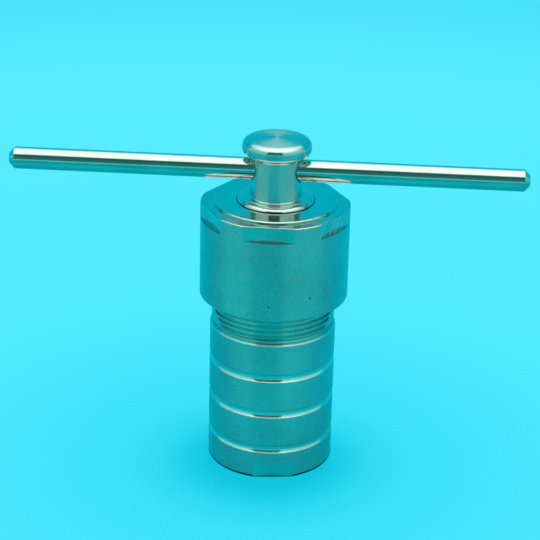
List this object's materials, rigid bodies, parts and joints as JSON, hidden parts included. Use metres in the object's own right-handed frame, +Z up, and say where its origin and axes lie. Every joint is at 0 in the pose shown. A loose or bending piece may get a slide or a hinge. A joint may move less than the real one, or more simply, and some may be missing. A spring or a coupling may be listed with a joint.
{
  "type": "hydrothermal reactor",
  "caption": "Stainless steel screw-capped hydrothermal reactor with a white liner inside, a grooved vessel, and a mushroom-headed post with a sliding T-bar for turning the cap.",
  "frame": {"origin": "centre of the vessel's base, on its axis", "axes": "+Z up along the vessel's axis, +X along the handle bar, cap screwed down"},
  "size_m": [0.234, 0.068, 0.1574],
  "materials": {
    "turned_steel": "fine turned satin",
    "polished_steel": "polished",
    "white_liner": "waxy matt white"
  },
  "bodies": {
    "vessel": {"vessel_body": "turned_steel", "base_disc": "turned_steel", "liner_cup": "white_liner", "liner_lid": "white_liner"},
    "thrust": {"pressure_disc": "turned_steel"},
    "cap": {"screw_cap": "turned_steel", "handle_post": "polished_steel"},
    "bar": {"handle_bar": "polished_steel"}
  },
  "joints": [
    {"name": "cap_rise", "type": "slide", "parent": "vessel", "child": "thrust", "axis": [0, 0, 1], "range_m": [0, 0.03]},
    {"name": "cap_turn", "type": "hinge", "parent": "thrust", "child": "cap", "pos_m": [0, 0, 0.1275], "axis": [0, 0, 1], "range_deg": [0, 4320]},
    {"name": "bar_slide", "type": "slide", "parent": "cap", "child": "bar", "axis": [1, 0, 0], "range_m": [-0.1, 0.107]}
  ],
  "couplings": [
    {"joint": "cap_rise", "follows": "cap_turn", "m_per_rad": 0.00039788}
  ]
}
